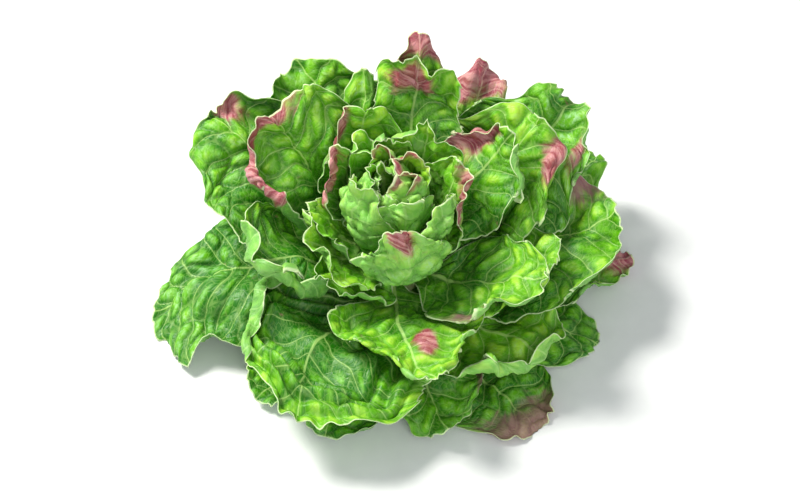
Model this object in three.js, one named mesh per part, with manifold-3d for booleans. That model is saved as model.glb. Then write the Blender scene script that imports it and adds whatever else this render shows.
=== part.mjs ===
// A cut head of batavia lettuce standing on its stump: a short stem, large loose leaves that fan out of
// it from the ground up to the middle, and a tight heart of small crumpled leaves on the stem's top.
// Millimetres, +Z up, the origin in the middle of the stem's flat cut face, which the head stands on.
// Azimuth 0 is +X and grows anticlockwise as seen from above.
import * as THREE from "three";
import { mergeVertices } from "three/addons/utils/BufferGeometryUtils.js";
import Module from "manifold-3d";

const wasm = await Module();
wasm.setup();

// Driving dimensions, in millimetres and degrees.
const STEM_CUT_RADIUS = 16;
const STEM_BULGE_RADIUS = 19;
const STEM_BULGE_HEIGHT = 14;
const STEM_TOP_RADIUS = 8;
const STEM_HEIGHT = 66;
const LOWEST_ROOT = 6;
const ROOT_RISE_PER_LEVEL = 1.45;
const ROOT_HALF_WIDTH = 8;
const ROOT_RIB = 2.6;
const BLADE_THICKNESS = 0.9;
const NEIGHBOUR_GAP = 0.35;
const MOST_TURN = 80;
const INNER_LEVEL = 30; // the leaves from here inwards are small
const TIP_END = 1.05; // tips and rolls are shaped up to a little past the blade's end

// The slow waves that all leaves share.
const WAVE_HEIGHT = 4.5;
const SECOND_WAVE = 0.6;
const WAVE_LENGTH = 52;
const WAVE_STARTS = 15; // from the axis
const WAVE_FULL = 90;
const STILL_BELOW = -8;
const WAVING_ABOVE = 24;

// The small crumpled leaves of the heart, and what changes from each to the next.
const HEART_LEAVES = 9;
const HEART_FIRST_LEAF = { azimuth: 212, level: 43.1, length: 74, halfWidth: 36, phase: 0 };
const HEART_STEP = { azimuth: -137.5, level: 2.2, length: -4.2, halfWidth: -2.4, phase: 1.7 };
const HEART_WAVES = 6;
const HEART_UNEVENNESS = 6; // how much longer or shorter some of them are
const HEART_UNEVEN_TURN = 2.2; // radians from one to the next along that rise and fall
const HEART_CORE_RADIUS = 10;
const HEART_CORE_TOP_RADIUS = 7;
const HEART_CORE_TOP = 97;

// How finely things are cut into faces, and how finely a shell's profile is summed.
const LEAF_ROWS = 10;
const INNER_ROWS = 8;
const LEAF_COLUMNS = 8;
const HEART_ROWS = 6;
const HEART_COLUMNS = 6;
const COLUMN_CROWDING = 1.2;
const ROUND_SIDES = 20;
const STEM_RINGS = 7;
const PROFILE_STEPS = 30;
const CURL_STEPS = 10;

const DEGREE = Math.PI / 180;
const clamp = (x, low, high) => Math.min(high, Math.max(low, x));
const ramp = (x, low, high) => {
  const t = clamp((x - low) / (high - low), 0, 1);
  return t * t * (3 - 2 * t);
};

// The nested shells that the leaves lie on, so that none crosses another. A shell starts at the stem and
// has a pitch near it, half way out and at its reach, given for the four directions. Levels in between
// are mixed.
const CENTRE_PITCHES = [60, 96, 165];
const SHELLS = [
  { level: 0, reach: 150, right: [0, 2, -13], back: [0, 0, -14.5], left: [0, -2, -13], front: [0, 2, -5] },
  { level: 7, reach: 155, right: [0, 4, -15], back: [4, 26, 12], left: [8, 20, -44], front: [0, 4, -34] },
  { level: 14, reach: 155, right: [4, 28, 2], back: [6, 54, 46], left: [6, 38, 0], front: [4, 28, -52] },
  { level: 22, reach: 142, right: [4, 46, 10], back: [6, 70, 56], left: [4, 50, 14], front: [2, 54, -34] },
  { level: 30, reach: 124, right: [2, 66, 30], back: [4, 78, 78], left: [4, 60, 44], front: [-2, 54, -6] },
  { level: 33, reach: 112, right: [6, 68, 80], back: [6, 80, 96], left: [14, 66, 84], front: [-2, 58, 110] },
  {
    level: 36,
    reach: 104,
    right: [14, 72, 99],
    back: [14, 82, 110],
    left: [18, 70, 104],
    front: [4, 60, 146],
  },
  {
    level: 43,
    reach: 80,
    right: [26, 82, 130],
    back: [26, 86, 130],
    left: [26, 82, 130],
    front: [24, 78, 156],
  },
  {
    level: 63,
    reach: 46,
    right: CENTRE_PITCHES,
    back: CENTRE_PITCHES,
    left: CENTRE_PITCHES,
    front: CENTRE_PITCHES,
  },
];

// What a leaf has unless its own entry says otherwise.
const COMMON_LEAF = {
  sway: 0, // how far the midrib turns sideways by its tip
  ruffle: 3.5,
  waves: 7,
  phase: 0,
  curlPlus: 0, // how far the anticlockwise margin rolls inwards
  curlMinus: 0,
  curlFrom: 0.6, // where across the blade that roll begins
  curlTip: 0, // how far the tip rolls inwards, or outwards below 0
  curlTipFrom: 0.78,
  tipWidth: 0.74, // the share of the width that is left at the tip
  tipRound: 0.24, // how far the tip's corners are cut back
  widest: 0.62, // how far out the blade is widest
};

// Every large leaf, from the ground inwards. Level is its shell, and the height of its root on the stem.
const LEAVES = [
  { name: "ground_leaf_front_right", azimuth: -49, level: 0, length: 138, halfWidth: 52, phase: 1 },
  { name: "ground_leaf_back", azimuth: 84, level: 1, length: 146, halfWidth: 60, phase: 2 },
  { name: "ground_leaf_left_front", azimuth: 225, level: 2, length: 112, halfWidth: 46, phase: 3 },
  { name: "ground_leaf_right", azimuth: -15, level: 2.8, length: 132, halfWidth: 46, phase: 0 },
  { name: "ground_leaf_back_left", azimuth: 132, level: 4, length: 150, halfWidth: 58, phase: 4 },
  { name: "ground_leaf_front", azimuth: -110, level: 5, length: 116, halfWidth: 46, phase: 5 },
  { name: "ground_leaf_behind_right", azimuth: 66, level: 5.2, length: 148, halfWidth: 52, phase: 1 },
  {
    name: "ground_leaf_far_right",
    azimuth: 11,
    level: 6.2,
    length: 162,
    halfWidth: 42,
    phase: 2,
    tipWidth: 0.5,
  },
  {
    name: "ground_leaf_left",
    azimuth: 168,
    sway: 18,
    level: 7,
    length: 157,
    halfWidth: 66,
    phase: 1,
    tipWidth: 0.72,
    tipRound: 0.12,
  },
  { name: "ground_leaf_front_middle", azimuth: -74, level: 8, length: 112, halfWidth: 46, phase: 2 },
  { name: "ground_leaf_behind_left", azimuth: 103, level: 8, length: 152, halfWidth: 58, phase: 5 },
  { name: "ground_leaf_back_right", azimuth: 34, level: 9.2, length: 168, halfWidth: 52, phase: 3 },

  {
    name: "outer_leaf_back_right",
    azimuth: 65,
    level: 11.4,
    length: 167,
    halfWidth: 44,
    phase: 0,
    tipWidth: 0.55,
  },
  {
    name: "outer_leaf_front_right",
    azimuth: -38,
    level: 12,
    length: 125,
    halfWidth: 54,
    phase: 1,
    curlTip: 60,
    curlTipFrom: 0.75,
  },
  { name: "outer_leaf_back_left", azimuth: 115, level: 13.4, length: 162, halfWidth: 68, phase: 3 },
  {
    name: "outer_leaf_front_left",
    azimuth: 231,
    sway: 15,
    level: 14,
    length: 137,
    halfWidth: 82,
    phase: 4,
    tipWidth: 0.85,
    curlMinus: 100,
    curlTip: 50,
    curlTipFrom: 0.6,
  },
  { name: "outer_leaf_right", azimuth: 9, level: 14.8, length: 154, halfWidth: 74, phase: 2, tipWidth: 0.8 },
  { name: "outer_leaf_left", azimuth: 144, level: 16.6, length: 165, halfWidth: 62, phase: 5 },
  { name: "outer_leaf_far_right", azimuth: 38, level: 18, length: 172, halfWidth: 56, phase: 0 },
  { name: "outer_leaf_back", azimuth: 80, level: 20.4, length: 160, halfWidth: 38, phase: 2, tipWidth: 0.6 },

  {
    name: "middle_leaf_right_low",
    azimuth: -10,
    level: 20.4,
    length: 112,
    halfWidth: 48,
    phase: 4,
    tipWidth: 0.7,
  },
  {
    name: "middle_leaf_front",
    azimuth: -86,
    sway: 10,
    level: 22,
    length: 118,
    halfWidth: 56,
    phase: 0,
    tipWidth: 0.32,
  },
  { name: "middle_leaf_left", azimuth: 190, level: 24, length: 112, halfWidth: 50, phase: 1, curlTip: 60 },
  {
    name: "middle_leaf_back_low",
    azimuth: 102,
    level: 23.2,
    length: 130,
    halfWidth: 30,
    phase: 3,
    tipWidth: 0.6,
  },
  { name: "middle_leaf_right", azimuth: 34, level: 24.4, length: 138, halfWidth: 58, phase: 2 },
  {
    name: "middle_leaf_right_front",
    azimuth: -31,
    level: 26.9,
    length: 120,
    halfWidth: 43,
    phase: 1.5,
    tipWidth: 0.62,
  },
  {
    name: "middle_leaf_back",
    azimuth: 79,
    level: 26.4,
    length: 148,
    halfWidth: 34,
    phase: 4,
    curlTip: 40,
    tipWidth: 0.8,
    tipRound: 0.15,
  },
  {
    name: "middle_leaf_back_left",
    azimuth: 141,
    level: 29,
    length: 134,
    halfWidth: 73,
    phase: 0,
    curlPlus: 110,
    widest: 0.95,
  },

  { name: "inner_leaf_right", azimuth: 33, level: 29.6, length: 120, halfWidth: 38, phase: 1 },
  { name: "inner_leaf_left", azimuth: 229, level: 30.7, length: 57, halfWidth: 34, phase: 2, curlTip: 50 },
  { name: "inner_leaf_back", azimuth: 106, level: 31.8, length: 108, halfWidth: 40, phase: 2 },
  { name: "inner_leaf_back_right", azimuth: 64, level: 34.4, length: 94, halfWidth: 34, phase: 4 },

  { name: "heart_leaf_left_front", azimuth: 205, level: 33.2, length: 76, halfWidth: 46, phase: 4 },
  {
    name: "heart_leaf_front",
    azimuth: -79,
    level: 35.8,
    length: 98,
    halfWidth: 42,
    phase: 0,
    tipWidth: 0.48,
  },
  { name: "heart_leaf_left", azimuth: 184, level: 35.8, length: 66, halfWidth: 27, phase: 1 },
  { name: "heart_leaf_back_left", azimuth: 134, level: 38, length: 86, halfWidth: 33, phase: 2 },
  { name: "heart_leaf_right", azimuth: 21, level: 36.8, length: 82, halfWidth: 39, phase: 1 },
  { name: "heart_leaf_back", azimuth: 102, level: 40.3, length: 84, halfWidth: 29, phase: 5 },
  { name: "heart_leaf_right_front", azimuth: -28, level: 39.4, length: 76, halfWidth: 34, phase: 3 },
];

// The stem's radius at a height: it swells over the cut and narrows to the growing tip.
function stemRadius(z) {
  if (z < STEM_BULGE_HEIGHT) {
    const swelling = Math.sin((z / STEM_BULGE_HEIGHT) * Math.PI / 2);
    return STEM_CUT_RADIUS + (STEM_BULGE_RADIUS - STEM_CUT_RADIUS) * swelling;
  }
  const t = (z - STEM_BULGE_HEIGHT) / (STEM_HEIGHT - STEM_BULGE_HEIGHT);
  return STEM_BULGE_RADIUS + (STEM_TOP_RADIUS - STEM_BULGE_RADIUS) * ramp(t, -0.2, 1.1);
}

function stemSolid() {
  const profile = [new THREE.Vector2(0, 0)];
  for (let i = 0; i <= STEM_RINGS; i++) {
    const z = (STEM_HEIGHT * i) / STEM_RINGS;
    profile.push(new THREE.Vector2(stemRadius(z), z));
  }
  profile.push(new THREE.Vector2(0, STEM_HEIGHT));
  return solidOf(new THREE.LatheGeometry(profile, ROUND_SIDES).rotateX(Math.PI / 2));
}

// A shell's reach and its three pitches at an azimuth, mixed from the two nearest rows and directions.
function shellAt(level, azimuth) {
  const next = clamp(SHELLS.findIndex((row) => row.level > level), 1, SHELLS.length - 1);
  const [low, high] = [SHELLS[next - 1], SHELLS[next]];
  const t = (level - low.level) / (high.level - low.level);
  const sideways = Math.cos(azimuth) ** 2;
  const pitches = [0, 1, 2].map((k) => {
    const across = (row) => (Math.cos(azimuth) > 0 ? row.right[k] : row.left[k]);
    const away = (row) => (Math.sin(azimuth) > 0 ? row.back[k] : row.front[k]);
    const mixed = (row) => across(row) * sideways + away(row) * (1 - sideways);
    return mixed(low) * (1 - t) + mixed(high) * t;
  });
  return { reach: low.reach * (1 - t) + high.reach * t, pitches };
}

// Where a leaf's shell stands at an azimuth, some way out along it from the stem: distance from the
// axis, height and pitch.
function profileAt(leaf, azimuth, distance) {
  const { reach, pitches: [rise, belly, fall] } = shellAt(leaf.level, azimuth);
  let height = LOWEST_ROOT + ROOT_RISE_PER_LEVEL * leaf.level;
  let radius = stemRadius(height) + NEIGHBOUR_GAP;
  const pitchAt = (s) => {
    const t = s / reach;
    const roll = leaf.curlTip * ramp(s / leaf.length, leaf.curlTipFrom, TIP_END);
    return (rise * (1 - t) ** 2 + 2 * belly * t * (1 - t) + fall * t ** 2 + roll) * DEGREE;
  };
  const step = distance / PROFILE_STEPS;
  for (let i = 0; i < PROFILE_STEPS; i++) {
    const pitch = pitchAt((i + 0.5) * step);
    radius += Math.cos(pitch) * step;
    height += Math.sin(pitch) * step;
  }
  return { radius, height, pitch: pitchAt(distance) };
}

// Half the blade's width: a narrow root that widens to an open round blade.
function halfWidthAt(leaf, u) {
  const opening = ramp(u, 0, leaf.widest);
  const closing = 1 - (1 - leaf.tipWidth) * ramp(u, 0.6, TIP_END);
  return ROOT_HALF_WIDTH + (leaf.halfWidth - ROOT_HALF_WIDTH) * opening * closing;
}

// A point of the blade's middle surface: u runs from root to tip, v from -1 to 1 across.
function bladePoint(leaf, u, v) {
  const side = Math.sign(v);
  const curl = (v < 0 ? leaf.curlMinus : leaf.curlPlus) * DEGREE * ramp(u, 0.25, 0.65);
  const flat = curl ? Math.min(Math.abs(v), leaf.curlFrom) : Math.abs(v);
  const distance = (u - leaf.tipRound * Math.abs(v) ** 2.2 * u ** 3) * leaf.length;
  const width = halfWidthAt(leaf, u);
  const heading = (leaf.azimuth + leaf.sway * u * u) * DEGREE;
  const middle = profileAt(leaf, heading, distance);
  const turn = clamp((flat * width) / middle.radius, 0, MOST_TURN * DEGREE);
  const azimuth = heading + side * turn;
  const { radius, height, pitch } = profileAt(leaf, azimuth, distance);
  const outwards = new THREE.Vector3(Math.cos(azimuth), Math.sin(azimuth), 0);
  const across = new THREE.Vector3(-outwards.y, outwards.x, 0);
  const up = outwards.clone().multiplyScalar(-Math.sin(pitch)).setZ(Math.cos(pitch));
  const point = outwards.clone().multiplyScalar(radius).setZ(height);
  const step = ((Math.abs(v) - flat) * width) / CURL_STEPS;
  for (let i = 0; i < CURL_STEPS; i++) {
    const angle = curl * ramp((i + 0.5) * step / width, 0, TIP_END - leaf.curlFrom);
    point.addScaledVector(across, side * Math.cos(angle) * step).addScaledVector(up, Math.sin(angle) * step);
  }
  const margin = 1 - (1 - Math.abs(v) ** 2.5) * (1 - u ** 5);
  const around = Math.atan2(v * 0.9, u - 0.3);
  const size = leaf.ruffle * margin * ramp(u, 0.1, 0.75) * ramp(height, -6, 26);
  const ruffle = size * Math.sin(leaf.waves * around + leaf.phase);
  return waved(point.addScaledVector(up, ruffle));
}

// The slow waves that all leaves share, so that each lies in the waves of the next. They die out
// towards the stem and the ground.
function waved(point) {
  const { x, y, z } = point;
  const radius = Math.hypot(x, y);
  const size = WAVE_HEIGHT * ramp(radius, WAVE_STARTS, WAVE_FULL) * ramp(z, STILL_BELOW, WAVING_ABOVE);
  const k = (2 * Math.PI) / WAVE_LENGTH;
  const along = (a, b, c) => k * (a * x + b * y + c * z);
  const crossed = Math.sin(along(1, 0, 0.3)) * Math.cos(along(-0.2, 0.9, 0));
  const lift = crossed + SECOND_WAVE * Math.sin(along(0.7, 1.1, 0) + 2);
  const push = Math.sin(along(0, 0.6, 0.8)) * Math.cos(along(0.8, 0, 0) + 1);
  const outwards = size * push / radius;
  return point.set(x * (1 + outwards), y * (1 + outwards), z + size * lift);
}

// The blade as one closed solid: a grid of points, set apart along its normals by the thickness, which
// swells to the rib underneath. The root is set against the stem.
function leafSolid(leaf, rows, columns) {
  const grid = [];
  for (let i = 0; i <= rows; i++) {
    const row = [];
    for (let j = 0; j <= columns; j++) {
      const even = (2 * j) / columns - 1;
      const v = Math.sign(even) * Math.abs(even) ** COLUMN_CROWDING;
      row.push({ point: bladePoint(leaf, i / rows, v), u: i / rows, v });
    }
    grid.push(row);
  }
  const at = (i, j) => grid[clamp(i, 0, rows)][clamp(j, 0, columns)].point;
  const top = [];
  const bottom = [];
  grid.forEach((row, i) => row.forEach(({ point, u, v }, j) => {
    const along = at(i + 1, j).clone().sub(at(i - 1, j));
    const across = at(i, j + 1).clone().sub(at(i, j - 1));
    const normal = along.cross(across).normalize();
    const rib = ROOT_RIB * (1 - ramp(u, 0, 0.85)) * (1 - Math.abs(v));
    top.push(point.clone().addScaledVector(normal, BLADE_THICKNESS / 2));
    bottom.push(point.clone().addScaledVector(normal, -BLADE_THICKNESS / 2 - rib));
  }));
  [...top.slice(0, columns + 1), ...bottom.slice(0, columns + 1)].forEach(setOnStem);
  return gridSolid(top, bottom, rows, columns);
}

// Moves a point of the root straight in or out, to lie against the stem.
function setOnStem(point) {
  const share = (stemRadius(point.z) + NEIGHBOUR_GAP) / Math.hypot(point.x, point.y);
  point.x *= share;
  point.y *= share;
}

// Joins a top and a bottom grid of points with a rim. Both faces are split along the same diagonals.
function gridSolid(top, bottom, rows, columns) {
  const across = columns + 1;
  const below = top.length;
  const faces = [];
  const quad = (a, b, c, d) => faces.push(a, b, c, a, c, d);
  for (let i = 0; i < rows; i++) {
    for (let j = 0; j < columns; j++) {
      const a = i * across + j;
      const b = a + across;
      const [c, d] = [b + 1, a + 1];
      if ((i + j) % 2) {
        quad(a, b, c, d);
        quad(below + a, below + d, below + c, below + b);
      } else {
        quad(b, c, d, a);
        quad(below + b, below + a, below + d, below + c);
      }
    }
  }
  const rim = [];
  for (let j = 0; j < columns; j++) rim.push(j);
  for (let i = 0; i < rows; i++) rim.push(i * across + columns);
  for (let j = columns; j > 0; j--) rim.push(rows * across + j);
  for (let i = rows; i > 0; i--) rim.push(i * across);
  rim.forEach((a, k) => {
    const b = rim[(k + 1) % rim.length];
    quad(a, b, below + b, below + a);
  });
  const geometry = new THREE.BufferGeometry().setFromPoints([...top, ...bottom]);
  geometry.setIndex(faces);
  return solidOf(geometry);
}

// The heart: a slim core on the stem's top with small crumpled leaves standing out of it, each turned
// by the golden angle from the last, joined in one solid.
function heartSolid() {
  const bottom = STEM_HEIGHT + NEIGHBOUR_GAP;
  const height = HEART_CORE_TOP - bottom;
  const core = new THREE.CylinderGeometry(HEART_CORE_TOP_RADIUS, HEART_CORE_RADIUS, height, ROUND_SIDES)
    .rotateX(Math.PI / 2)
    .translate(0, 0, bottom + height / 2);
  const pieces = [solidOf(core)];
  for (let i = 0; i < HEART_LEAVES; i++) {
    const leaf = { ...COMMON_LEAF, waves: HEART_WAVES };
    Object.keys(HEART_STEP).forEach((key) => {
      leaf[key] = HEART_FIRST_LEAF[key] + HEART_STEP[key] * i;
    });
    leaf.length += HEART_UNEVENNESS * Math.sin(HEART_UNEVEN_TURN * i);
    pieces.push(leafSolid(leaf, HEART_ROWS, HEART_COLUMNS));
  }
  return largest(wasm.Manifold.union(pieces));
}

function solidOf(geometry) {
  const bare = geometry.clone();
  bare.deleteAttribute("normal");
  bare.deleteAttribute("uv");
  const merged = mergeVertices(bare, 1e-4);
  return new wasm.Manifold(new wasm.Mesh({
    numProp: 3,
    vertProperties: merged.attributes.position.array,
    triVerts: new Uint32Array(merged.index.array),
  }));
}

function geometryOf(solid) {
  const mesh = solid.getMesh();
  const geometry = new THREE.BufferGeometry();
  geometry.setAttribute("position", new THREE.BufferAttribute(mesh.vertProperties, 3));
  geometry.setIndex(new THREE.BufferAttribute(mesh.triVerts, 1));
  geometry.computeVertexNormals();
  return geometry;
}

const largest = (solid) => solid.decompose().reduce((a, b) => (a.volume() > b.volume() ? a : b));

const stemMaterial = new THREE.MeshStandardMaterial({ color: 0xd5dcb4, roughness: 0.6, metalness: 0 });
const leafMaterial = new THREE.MeshStandardMaterial({ color: 0x5f9e35, roughness: 0.55, metalness: 0 });
const heartMaterial = new THREE.MeshStandardMaterial({ color: 0x8fbf6a, roughness: 0.55, metalness: 0 });

const head = new THREE.Group();

function addNode(name, solid, material) {
  const mesh = new THREE.Mesh(geometryOf(solid), material);
  mesh.name = name;
  head.add(mesh);
}

addNode("stem", stemSolid(), stemMaterial);
LEAVES.forEach((entry) => {
  const rows = entry.level < INNER_LEVEL ? LEAF_ROWS : INNER_ROWS;
  addNode(entry.name, leafSolid({ ...COMMON_LEAF, ...entry }, rows, LEAF_COLUMNS), leafMaterial);
});
addNode("heart", heartSolid(), heartMaterial);

export default head;
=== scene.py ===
# A cut head of batavia lettuce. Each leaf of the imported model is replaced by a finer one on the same
# shell, with blisters between its veins, a toothed and ruffled margin, and a blush on some tips.
import math

import bpy
import numpy as np
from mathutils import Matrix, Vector
from mathutils.bvhtree import BVHTree


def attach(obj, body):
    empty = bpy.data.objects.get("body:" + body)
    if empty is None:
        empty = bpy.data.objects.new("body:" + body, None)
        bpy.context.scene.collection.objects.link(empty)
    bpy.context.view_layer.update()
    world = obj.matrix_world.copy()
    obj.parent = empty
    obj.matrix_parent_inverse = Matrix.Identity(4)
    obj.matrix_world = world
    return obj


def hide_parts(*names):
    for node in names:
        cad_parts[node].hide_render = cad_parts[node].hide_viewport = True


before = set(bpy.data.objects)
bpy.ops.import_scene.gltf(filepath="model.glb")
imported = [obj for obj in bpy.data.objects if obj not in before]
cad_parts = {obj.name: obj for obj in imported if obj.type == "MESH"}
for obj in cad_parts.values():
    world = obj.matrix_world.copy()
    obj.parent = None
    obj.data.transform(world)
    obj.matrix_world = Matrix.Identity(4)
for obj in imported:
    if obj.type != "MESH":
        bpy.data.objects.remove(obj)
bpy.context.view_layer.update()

# Shapes are worked out in millimetres and degrees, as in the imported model, and become metres when a
# mesh is made. Azimuth 0 is +X and grows anticlockwise as seen from above. A pair of numbers is where
# something starts and where it is full, or the other way round where it dies out.
MM = 0.001

STEM_CUT_RADIUS = 16
STEM_BULGE_RADIUS = 19
STEM_BULGE_HEIGHT = 14
STEM_TOP_RADIUS = 8
STEM_HEIGHT = 66
STEM_TAPER = (-0.2, 1.1)
LOWEST_ROOT = 6
ROOT_RISE_PER_LEVEL = 1.45
ROOT_HALF_WIDTH = 8
ROOT_RIB = 2.6
BLADE_THICKNESS = 0.9
NEIGHBOUR_GAP = 0.35
MOST_TURN = 80

# Places along a blade run from 0 at its root to 1 at its tip, and places across it from -1 to 1. Angles
# round the blade are taken from a point on its midrib.
TIP_END = 1.05
NARROWING_STARTS = 0.6
CURL_RISE = (0.25, 0.65)
RUFFLE_RISE = (0.1, 0.75)
RUFFLE_Z = (-6, 26)
ROUND_FROM = 0.3
ACROSS_SHARE = 0.9

# How sharply things set in towards the sides and the tip, as powers.
TIP_ROUND_ACROSS = 2.2
TIP_ROUND_ALONG = 3
RUFFLE_ACROSS = 2.5
RUFFLE_ALONG = 5
TEETH_ACROSS = 7
TEETH_ALONG = 9

WAVE_HEIGHT = 4.5
SECOND_WAVE = 0.6
WAVE_LENGTH = 52
WAVE_RADII = (15, 90)
WAVE_Z = (-8, 24)

HEART_LEAVES = 9
HEART_FIRST_LEAF = dict(azimuth=212, level=43.1, length=74, half_width=36, phase=0)
HEART_STEP = dict(azimuth=-137.5, level=2.2, length=-4.2, half_width=-2.4, phase=1.7)
HEART_WAVES = 6
HEART_UNEVENNESS = 6
HEART_UNEVEN_TURN = 2.2
HEART_TONE = 1.6
HEART_TONE_STEP = -0.03
HEART_BLUSH = (1, 0, 0.12, 0.8, 0.7)
HEART_BLUSHED = (1, 4, 7)
HEART_SEED = 100

PROFILE_STEPS = 30
CURL_STEPS = 10

# How finely a leaf is divided, and the coarse grid on which the room round each leaf is measured.
SEEN_SPACING = 1.42
HIDDEN_SPACING = 2.6
HEART_SPACING = 1.25
FEWEST_STEPS = 12
MEAN_WIDTH = 1.75
ROW_CROWDING = 0.85
COLUMN_CROWDING = 0.9
ROOM_ROWS = 36
ROOM_COLUMNS = 30
STEM_ROUND = 96
STEM_ROWS = 60

# Veins and blisters, in millimetres. Wander, alternation, scatter and the gap between the two sides are
# counted in vein spacings or cells.
VEIN_SPACING = 16
VEIN_LEAN = 0.75
VEIN_BEND = 0.0025
VEIN_WANDER = 0.16
VEIN_ALTERNATION = 0.22
VEIN_ALTERNATION_FULL = 10
VEIN_SLANT = 0.8
WANDER_LENGTH = 14
CELL = 15
CELL_WANDER = 0.15
CELL_SCATTER = 0.5
SIDEWAYS_SCATTER = 0.9
SIDES_APART = 12
FINE_CELL = 6.5
FINE_CELL_SCATTER = 0.9
FINE_CELL_SHIFT = 5
RELIEF_RISE = (0.06, 0.4)
BLISTER_HEIGHT = 3.6
BLISTER_WIDTH = 5.5
BLISTER_SINK = 0.66
BLISTERS_FULL = 7
FINE_BLISTER_HEIGHT = 0.7
FINE_BLISTER_WIDTH = 2.8
FINE_BLISTER_SINK = 0.7
UNEVEN_SHARE = 0.25
UNEVEN_LENGTH = 30
UNEVEN_SHIFT = 3

# Ribs: their height and width, the midrib's groove, and the pale line that the material draws along it.
MIDRIB_HEIGHT = 1.1
MIDRIB_WIDTH = 5
MIDRIB_TAPER = 3.2
MIDRIB_CREST = 0.5
GROOVE_EXTRA_WIDTH = 2
MIDRIB_LINE = 0.5
MIDRIB_LINE_TAPER = 1.6
ROOT_RIB_ENDS = 0.85
VEIN_RIB = 0.45
VEIN_RIB_WIDTH = 1.1
VEIN_RIB_INWARDS = (2, 12)
VEIN_RIB_RISE = (0.1, 0.3)

# The margin, in millimetres: its frill, its teeth and lobes and how long they are along the sides and round
# the tip, the rings that some leaves have inside it, and how thin the blade becomes at its rim.
MARGIN_FRILL = 2.6
FRILL_REACH = 9
FRILLS_PER_RADIAN = 23
FRILL_SHIFT = 2.2
FRILL_SHIFTS_PER_RADIAN = 3
FRILL_SIZES = (0.6, 0.4)
FRILL_SIZES_PER_RADIAN = 5
TOOTH = 1.5
TOOTH_LENGTH = 4.5
TIP_TOOTH_LENGTH = 4.2
LOBE = 2.4
LOBE_LENGTH = 17
TIP_LOBE_LENGTH = 15
SIDE_ROWS_APART = 7
TEETH_RISE = (0.2, 0.5)
ROLLED_TEETH = 0.3
RING_SPACING = 12
RINGS_BEGIN = (3, 12)
RINGS_END = (34, 46)
THIN_EDGE = 0.4
THIN_EDGE_WIDTH = 3

# Relief takes up this share of the room round a leaf, but is never held below the least room. No leaf hangs
# lower than the floor gap.
ROOM_SHARE = 0.42
LEAST_ROOM = 0.02
FLOOR_GAP = 0.35

# Crumpling that moves the whole head together: how far, and over what distance. It dies out towards the
# stem and the ground, and is stronger in the heart.
CRUMPLES = [(3.0, 21), (1.0, 9)]
CRUMPLE_RADII = (18, 50)
HEART_CRUMPLE_Z = (62, 85)
HEART_CRUMPLE_RADII = (50, 80)
EXTRA_HEART_CRUMPLE = 0.3
CRUMPLE_Z = (2, 22)

# Cushions that the heart's leaves share: how far they stand out from its middle, how wide a cushion is and
# how far from its seam it is full.
QUILT_SEED = 7
QUILT_HEIGHT = 6.2
QUILT_CELL = 15
QUILT_WIDTH = 6
QUILT_MIDDLE = (0, 0, 55)
QUILT_RADII = (74, 96)
QUILT_LEVEL = 33
QUILT_Z = (40, 70)
QUILT_SINK = 0.6

# Rolled margins: how far in they start, their chance angle and how quickly it changes, the room that a full
# chance roll needs, and the angles between which a margin goes from loose to tight.
ROLL_BAND = 11
CHANCE_ROLL = 75
CHANCE_ROLLS = 2.6
CHANCE_ROLL_SHIFT = 30
LEAST_ROLL = 0.02
ROLL_RISE = (0.2, 0.4)
TIGHTENING = (20, 90)
ROLL_ROOM = 5
HEART_ROLL = 1.6
HEART_ROLL_BAND = 7
CORNER_BLEND = 4
SOFTENING_ROUNDS = 8

# The nested shells: level, reach, and pitch near the stem, half way out and at the reach, for the four
# directions.
CENTRE_PITCHES = (60, 96, 165)
SHELL_COLUMNS = ("level", "reach", "right", "back", "left", "front")
SHELL_ROWS = [
    (0, 150, (0, 2, -13), (0, 0, -14.5), (0, -2, -13), (0, 2, -5)),
    (7, 155, (0, 4, -15), (4, 26, 12), (8, 20, -44), (0, 4, -34)),
    (14, 155, (4, 28, 2), (6, 54, 46), (6, 38, 0), (4, 28, -52)),
    (22, 142, (4, 46, 10), (6, 70, 56), (4, 50, 14), (2, 54, -34)),
    (30, 124, (2, 66, 30), (4, 78, 78), (4, 60, 44), (-2, 54, -6)),
    (33, 112, (6, 68, 80), (6, 80, 96), (14, 66, 84), (-2, 58, 110)),
    (36, 104, (14, 72, 99), (14, 82, 110), (18, 70, 104), (4, 60, 146)),
    (43, 80, (26, 82, 130), (26, 86, 130), (26, 82, 130), (24, 78, 156)),
    (63, 46, CENTRE_PITCHES, CENTRE_PITCHES, CENTRE_PITCHES, CENTRE_PITCHES),
]
SHELLS = [dict(zip(SHELL_COLUMNS, row)) for row in SHELL_ROWS]

# What a leaf has unless its own entry says otherwise. Blister, rings and bulges shape its surface. Tone
# is below 0 for deep green and above it for yellow green, and each leaf also gives how strong the painted
# bluish highlight on its cushions is. A bulge is (along, across, how far it spreads along and across,
# height in mm). A blush is (along, across, spread along, spread across, strength), where across is positive
# on the anticlockwise side. A brown patch is the same, and so is a spot that adds to the tone, darker below
# 0 and lighter above it; the dark hollow of outer_leaf_front_left's bowl is such a spot of painted shade.
# A roll is (place, spread, degrees): places run from 0 at the tip to 1 and -1 half way along the sides.
COMMON_LEAF = dict(
    sway=0, ruffle=3.5, waves=7, phase=0, curl_plus=0, curl_minus=0, curl_from=0.6, curl_tip=0,
    curl_tip_from=0.78, tip_width=0.74, tip_round=0.24, seen=True, blister=1, rings=0, bulges=(),
    tone=0, cool=0.2, blush=(), brown=(), shades=(), rolls=(), roll_band=ROLL_BAND,
    chance_roll=1, widest=0.62,
)


def grown(azimuth, level, length, half_width, **own):
    """A leaf on a shell, with what sets it apart from a common one."""
    place = dict(azimuth=azimuth, level=level, length=length, half_width=half_width)
    return {**COMMON_LEAF, **place, **own}


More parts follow.
